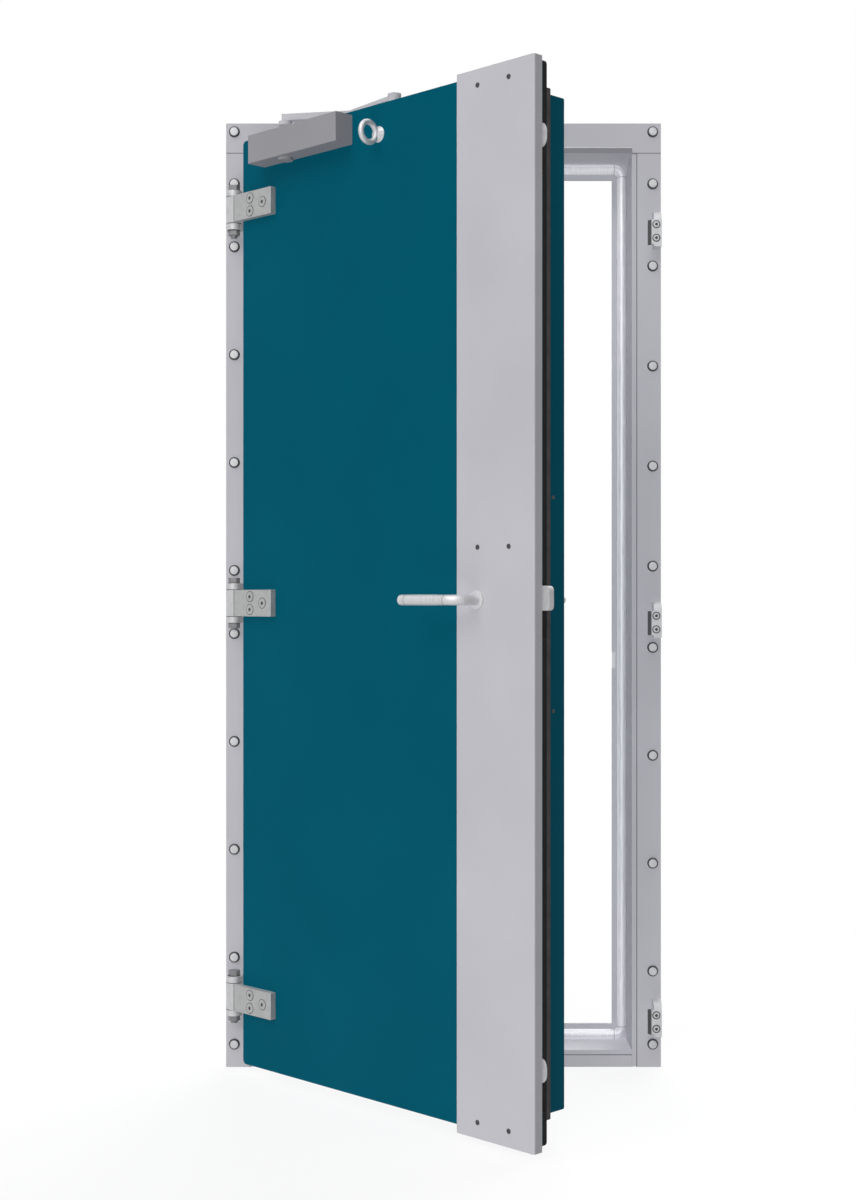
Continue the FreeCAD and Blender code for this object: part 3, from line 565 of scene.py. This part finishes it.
def socket_head(radius, proud, socket, depth):
    """One flat screw head on Z, with a six-sided socket whose faces are marked for dark steel, painted
    shade in the socket.
    """
    shape = bmesh.new()
    rim = circle_edges(shape, HEAD_STEPS, radius, proud)
    well = circle_edges(shape, SOCKET_SIDES, socket, proud)
    bmesh.ops.bridge_loops(shape, edges=rim + well)
    outside = set(shape.faces)
    bmesh.ops.edgeloop_fill(shape, edges=sink(shape, well, depth))
    for face in set(shape.faces) - outside:
        face.material_index = 1
    bmesh.ops.edgeloop_fill(shape, edges=sink(shape, rim, proud + SCREW_SEAT))
    bmesh.ops.recalc_face_normals(shape, faces=shape.faces)
    bmesh.ops.bevel(
        shape,
        geom=[edge for edge in rim if edge.is_valid],
        offset=min(proud * HEAD_EASE_SHARE, radius * HEAD_EASE_LIMIT),
        offset_type="OFFSET",
        segments=2,
        profile=0.5,
        affect="EDGES",
        material=-1,
    )
    return shape


def head_set(name, head, places, finish, body):
    """Many like screw heads as one piece."""
    pattern = bpy.data.meshes.new("pattern")
    head.to_mesh(pattern)
    head.free()
    whole = bmesh.new()
    for place in places:
        before = set(whole.verts)
        whole.from_mesh(pattern)
        fresh = [vertex for vertex in whole.verts if vertex not in before]
        bmesh.ops.transform(whole, matrix=place, verts=fresh)
    bpy.data.meshes.remove(pattern)
    # painted shade: the socket faces take dark steel
    make_piece(name, whole, finish, body, marked=DARK_STEEL)


def shade_rim_set(name, head_radius, width, height, places, body):
    """Thin dark rings round screw heads, painted shade where each head meets its plate."""
    profile = ring_profile(head_radius + RIM_GAP, head_radius + width, height)
    turned_set(name, profile, places, DARK_STEEL, body)


BLADE_HEAD = 11.0 * MM
BLADE_RIM_WIDTH = 1.4 * MM
BLADE_RIM_HEIGHT = 0.3 * MM
BLADE_SCREWS = ((78.0 * MM, 14.5 * MM), (78.0 * MM, -14.5 * MM), (121.0 * MM, 0.0))
blade_places = []
for blade in BLADES:
    low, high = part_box(blade)
    middle = (low.z + high.z) / 2
    face_out = leaf_reach(blade)[3]
    for along, rise in BLADE_SCREWS:
        blade_places.append(facing(on_leaf(along, face_out, middle + rise), OUTWARD))
blade_head = socket_head(BLADE_HEAD, proud=1.0 * MM, socket=4.4 * MM, depth=0.9 * MM)
head_set("hinge_screws", blade_head, blade_places, ZINC_PLATE, "leaf")
shade_rim_set("hinge_screw_shade_rims", BLADE_HEAD, BLADE_RIM_WIDTH, BLADE_RIM_HEIGHT, blade_places, "leaf")

STRIKE_HEAD = 6.8 * MM
STRIKE_RIM_WIDTH = 2.5 * MM
STRIKE_RIM_HEIGHT = 0.4 * MM
STRIKE_SCREW_DROPS = (31.0 * MM, 62.0 * MM)
STRIKE_SCREW_INSET = 12.5 * MM
strike_places = []
for strike in STRIKES:
    low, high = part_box(strike)
    for drop in STRIKE_SCREW_DROPS:
        spot = Vector((high.x - STRIKE_SCREW_INSET, low.y, high.z - drop))
        strike_places.append(facing(spot, TO_VIEWER))
strike_head = socket_head(STRIKE_HEAD, proud=2.0 * MM, socket=3.8 * MM, depth=1.8 * MM)
head_set("strike_screws", strike_head, strike_places, LIGHT_ZINC, "frame")
shade_rim_set("strike_screw_shade_rims", STRIKE_HEAD, STRIKE_RIM_WIDTH, STRIKE_RIM_HEIGHT, strike_places, "frame")

COVER_SCREW_INSET = 32.0 * MM
COVER_SCREW_RISE = 104.0 * MM
COVER_SCREWS_ALONG = (791.0 * MM, 874.0 * MM)
cover_out = leaf_reach("latch_cover")[3]
cover_low, cover_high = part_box("latch_cover")
cover_heights = (
    cover_high.z - COVER_SCREW_INSET,
    SPINDLE.z + COVER_SCREW_RISE,
    cover_low.z + COVER_SCREW_INSET,
)
cover_places = []
for along in COVER_SCREWS_ALONG:
    for height in cover_heights:
        cover_places.append(facing(on_leaf(along, cover_out, height), OUTWARD))
cover_head = socket_head(radius=5.2 * MM, proud=1.2 * MM, socket=2.4 * MM, depth=1.0 * MM)
head_set("cover_screws", cover_head, cover_places, DARK_STEEL, "leaf")

EDGE_SCREW_OUT = -80.0 * MM
EDGE_SCREWS_Z = (1262.0 * MM, 841.0 * MM)
box_end = leaf_reach("leaf_box")[1]
edge_places = [facing(on_leaf(box_end, EDGE_SCREW_OUT, height), ALONG) for height in EDGE_SCREWS_Z]
edge_head = socket_head(radius=4.0 * MM, proud=0.8 * MM, socket=2.0 * MM, depth=0.6 * MM)
head_set("edge_screws", edge_head, edge_places, DARK_STEEL, "leaf")

# Painted shade: thin dark rings in the gaps between each hinge's lugs and its barrel, and under the pin's
# head and nut

BARREL_INNER = 16.0 * MM
BARREL_OUTER = 18.25 * MM
PIN_ROOM = 9.0 * MM
PIN_SHADE_RADIUS = 14.5 * MM
SHADE_RING_THICKNESS = 1.4 * MM


def end_places(hinge_nodes):
    """Places on the hinge axis at the upper and lower end of each node, facing away from it."""
    places = []
    for node in hinge_nodes:
        low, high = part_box(node)
        places.append(facing(HINGE + UP * high.z, UP))
        places.append(facing(HINGE + UP * low.z, -UP))
    return places


gap_ring = ring_profile(BARREL_INNER, BARREL_OUTER, SHADE_RING_THICKNESS)
pin_ring = ring_profile(PIN_ROOM, PIN_SHADE_RADIUS, SHADE_RING_THICKNESS)
turned_set("hinge_gap_shade_rings", gap_ring, end_places(BLADES), DARK_STEEL, "frame")
turned_set("hinge_pin_shade_rings", pin_ring, end_places(BRACKETS), DARK_STEEL, "frame")

# Ring lines at the lever's tip and at the start of its bend, and where the bead's tubes meet their elbows

GRIP_RADIUS = 10.9 * MM
TUBE_RADIUS = 10.5 * MM
TIP_TO_RING = 19.0 * MM
TIP_TO_BEND = 127.5 * MM
RING_WIDTH = 0.9 * MM
RING_PROUD = 0.15 * MM
RING_STEPS = 48


def ring_lines(name, radius, places, body):
    """Thin dark rings round a tube where two of its stretches meet."""
    profile = ring_profile(radius - RING_PROUD, radius + RING_PROUD, RING_WIDTH)
    turned_set(name, profile, places, DARK_STEEL, body, RING_STEPS)


lever_tip = leaf_reach("lever")[0]
grip_out = leaf_reach("lever")[3] - GRIP_RADIUS
tip_place = facing(on_leaf(lever_tip + TIP_TO_RING, grip_out, SPINDLE.z), ALONG)
bend_place = facing(on_leaf(lever_tip + TIP_TO_BEND, grip_out, SPINDLE.z), ALONG)
ring_lines("grip_tip_ring", GRIP_RADIUS, [tip_place], "handle")
ring_lines("grip_bend_ring", TUBE_RADIUS, [bend_place], "handle")

bead_places = []
for bead in BEAD_TUBES:
    low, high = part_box(bead)
    middle = (low + high) / 2
    run = UP if high.z - low.z > high.x - low.x else TO_STRIKE
    for end in (low, high):
        spot = middle + run * (end - middle).dot(run)
        bead_places.append(facing(spot - run * RING_WIDTH / 2, run))
bead_low, bead_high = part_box("bead_right")
ring_lines("bead_seams", (bead_high.y - bead_low.y) / 2, bead_places, "frame")

# Black linings of the slots that the cams slide in: in the seal at the end cams, behind the middle one

SLOT_ROOM = 6.0 * MM
LINING_WIDTH = 24.0 * MM
LINING_GAP = 2.0 * MM
FLAP_GAP = 0.7 * MM
FLAP_THICKNESS = 1.6 * MM
FLAP_INSET = 5.0 * MM
FLAP_EASE = 0.3 * MM
LATCH_TRAVEL = joints["latch_slide"]["range_m"][1]
seal_end, seal_rear = leaf_reach("edge_seal")[1:3]


def line_slot(cam, start, end, rear, front, ease):
    """A black lining of one cam's slot, over the cam's whole travel."""
    low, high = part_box(cam)
    foot = low.z - LATCH_TRAVEL - SLOT_ROOM
    top = high.z + SLOT_ROOM
    middle = on_leaf((start + end) / 2, (front + rear) / 2, (foot + top) / 2)
    lining = bmesh.new()
    add_block(lining, middle, (OUTWARD, ALONG, UP), (front - rear, end - start, top - foot))
    ease_edges(lining, ease)
    make_piece(cam.replace("latch_cam", "slot_lining"), lining, BLACK_SEAL, "leaf")


for cam in CAMS:
    cam_rear = leaf_reach(cam)[2]
    if cam in END_CAMS:
        plate_rear = cam_rear + CAM_THICKNESS * (1 - CAM_PLATE_SHARE)
        line_slot(cam, seal_end - LINING_WIDTH, seal_end, seal_rear, plate_rear - LINING_GAP, EASE)
    else:
        flap_front = cam_rear - FLAP_GAP
        line_slot(cam, box_end, seal_end - FLAP_INSET, flap_front - FLAP_THICKNESS, flap_front, FLAP_EASE)

# Joint lines: between the frame's pieces, along its folds, and where each hinge strap leaves its barrel

SEAM_WIDTH = 1.6 * MM
SEAM_PROUD = 0.12 * MM
SEAM_DEPTH = 0.6 * MM
LIP_X = 444.5 * MM
SILL_LIP_Z = 14.0 * MM
jamb_low, jamb_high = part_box("strike_jamb")
sill_low, sill_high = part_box("frame_sill")


def on_frame(x, z):
    """A point on the front of the frame."""
    return Vector((x, FRAME_FRONT, z))


def add_seam(shape, start, end, face):
    """Add a thin dark line from one point to another, on a surface that faces a direction."""
    run = (end - start).normalized()
    middle = (start + end) / 2 + face * (SEAM_PROUD - SEAM_DEPTH) / 2
    size = (SEAM_WIDTH, (end - start).length, SEAM_DEPTH + SEAM_PROUD)
    add_block(shape, middle, (run.cross(face), run, face), size)


frame_seams = bmesh.new()
for side in (-1, 1):
    joint_start = on_frame(side * sill_high.x, jamb_high.z)
    joint_end = on_frame(side * jamb_high.x, jamb_high.z)
    add_seam(frame_seams, joint_start, joint_end, TO_VIEWER)
    lip_foot = on_frame(side * LIP_X, jamb_low.z)
    lip_top = on_frame(side * LIP_X, jamb_high.z)
    add_seam(frame_seams, lip_foot, lip_top, TO_VIEWER)
sill_start = on_frame(sill_low.x, SILL_LIP_Z)
sill_end = on_frame(sill_high.x, SILL_LIP_Z)
add_seam(frame_seams, sill_start, sill_end, TO_VIEWER)
make_piece("frame_seams", frame_seams, SEAM_GREY, "frame")

strap_seams = bmesh.new()
for blade in BLADES:
    low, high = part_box(blade)
    face_out = leaf_reach(blade)[3]
    strap_foot = on_leaf(STRAP_START, face_out, low.z)
    strap_top = on_leaf(STRAP_START, face_out, high.z)
    add_seam(strap_seams, strap_foot, strap_top, OUTWARD)
make_piece("strap_seams", strap_seams, DARK_STEEL, "leaf")

# Keeper plate that fills the notch in the strike jamb's rear strip

NOTCH_DROP = 123.0 * MM
NOTCH_HEIGHT = 38.0 * MM
NOTCH_DEPTH = 8.0 * MM
STRIP_THICKNESS = 6.0 * MM
PLATE_GAP = 0.3 * MM
PLATE_EASE = 0.4 * MM
plate_middle = Vector((
    jamb_low.x + PLATE_GAP + NOTCH_DEPTH / 2,
    jamb_high.y - PLATE_GAP - STRIP_THICKNESS / 2,
    SPINDLE.z - NOTCH_DROP - NOTCH_HEIGHT / 2,
))
keeper_plate = bmesh.new()
plate_size = (NOTCH_DEPTH, STRIP_THICKNESS, NOTCH_HEIGHT)
add_block(keeper_plate, plate_middle, (TO_STRIKE, -TO_VIEWER, UP), plate_size)
ease_edges(keeper_plate, PLATE_EASE)
make_piece("keeper_plate", keeper_plate, SATIN_STEEL, "frame")

# Stage: floor, light and camera

WHITE = (1, 1, 1, 1)
FLOOR_SIZE = 60.0
FLOOR_DROP = 2.0 * MM
FLOOR_GLOW = 0.76
SOFT_LIGHT = 0.12
LAMP_DISTANCE = 6.0


def lay_floor():
    """A wide pale floor under the sill, which looks white and still takes the shadow."""
    ground = bmesh.new()
    bmesh.ops.create_grid(ground, x_segments=1, y_segments=1, size=FLOOR_SIZE / 2)
    bmesh.ops.translate(ground, verts=ground.verts, vec=(0, 0, cad_low.z - FLOOR_DROP))
    mesh = bpy.data.meshes.new("floor")
    ground.to_mesh(mesh)
    ground.free()
    finish, shader = new_finish("pale_floor", linear(124, 124, 124), roughness=0.9, metallic=0.0)
    shader.inputs["Specular IOR Level"].default_value = 0.0
    shader.inputs["Emission Color"].default_value = WHITE
    shader.inputs["Emission Strength"].default_value = FLOOR_GLOW
    mesh.materials.append(finish)
    floor = bpy.data.objects.new("floor", mesh)
    bpy.context.scene.collection.objects.link(floor)
    floor.visible_diffuse = False
    floor.visible_shadow = False


def light_world():
    """A soft light from all round, which the camera, metal and glass see as plain white."""
    world = bpy.data.worlds.new("studio")
    bpy.context.scene.world = world
    world.use_nodes = True
    tree = world.node_tree
    soft = tree.nodes["Background"]
    soft.inputs["Color"].default_value = WHITE
    soft.inputs["Strength"].default_value = SOFT_LIGHT
    white = tree.nodes.new("ShaderNodeBackground")
    white.inputs["Color"].default_value = WHITE
    white.inputs["Strength"].default_value = 1.0
    ray = tree.nodes.new("ShaderNodeLightPath")
    direct = tree.nodes.new("ShaderNodeMath")
    direct.operation = "ADD"
    shown = tree.nodes.new("ShaderNodeMath")
    shown.operation = "ADD"
    shown.use_clamp = True
    choose = tree.nodes.new("ShaderNodeMixShader")
    tree.links.new(ray.outputs["Is Camera Ray"], direct.inputs[0])
    tree.links.new(ray.outputs["Is Glossy Ray"], direct.inputs[1])
    tree.links.new(direct.outputs["Value"], shown.inputs[0])
    tree.links.new(ray.outputs["Is Transmission Ray"], shown.inputs[1])
    tree.links.new(shown.outputs["Value"], choose.inputs["Fac"])
    tree.links.new(soft.outputs["Background"], choose.inputs[1])
    tree.links.new(white.outputs["Background"], choose.inputs[2])
    tree.links.new(choose.outputs["Shader"], tree.nodes["World Output"].inputs["Surface"])


def add_lamp(name, toward, spread, strength, shadow):
    """A broad even lamp, so far away that it lights everything alike, shining from a direction."""
    lamp = bpy.data.lights.new(name, "SUN")
    lamp.angle = math.radians(spread)
    lamp.energy = strength
    lamp.use_shadow = shadow
    holder = bpy.data.objects.new(name, lamp)
    holder.location = Vector(toward) * LAMP_DISTANCE
    holder.rotation_euler = Vector(toward).to_track_quat("Z", "Y").to_euler()
    bpy.context.scene.collection.objects.link(holder)


lay_floor()
light_world()
KEY_SIDE = (-0.33, -0.50, 0.80)
add_lamp("key_lamp", KEY_SIDE, spread=60, strength=0.4, shadow=True)
add_lamp("key_fill", KEY_SIDE, spread=60, strength=2.12, shadow=False)
add_lamp("front_fill", (-0.30, -0.94, 0.15), spread=40, strength=0.95, shadow=False)
add_lamp("floor_fill", (-0.20, -0.45, -0.87), spread=60, strength=1.5, shadow=False)
add_lamp("rear_lamp", (0.35, 0.75, 0.56), spread=60, strength=2.0, shadow=True)
add_lamp("rear_fill", (0.12, 0.97, 0.21), spread=40, strength=1.2, shadow=False)

EYE_X = -35.7 * MM
EYE_Z = 1060.0 * MM
VIEW_DISTANCE = 4172.0 * MM
SENSOR_HEIGHT = 36.0
FOCAL_LENGTH = 54.42
camera_data = bpy.data.cameras.new("camera")
camera_data.sensor_fit = "VERTICAL"
camera_data.sensor_height = SENSOR_HEIGHT
camera_data.lens = FOCAL_LENGTH
camera = bpy.data.objects.new("camera", camera_data)
camera.location = (EYE_X, FRAME_FRONT - VIEW_DISTANCE, EYE_Z)
camera.rotation_euler = (math.radians(90), 0, 0)
bpy.context.scene.collection.objects.link(camera)
bpy.context.scene.camera = camera
bpy.context.scene.view_settings.view_transform = "Standard"
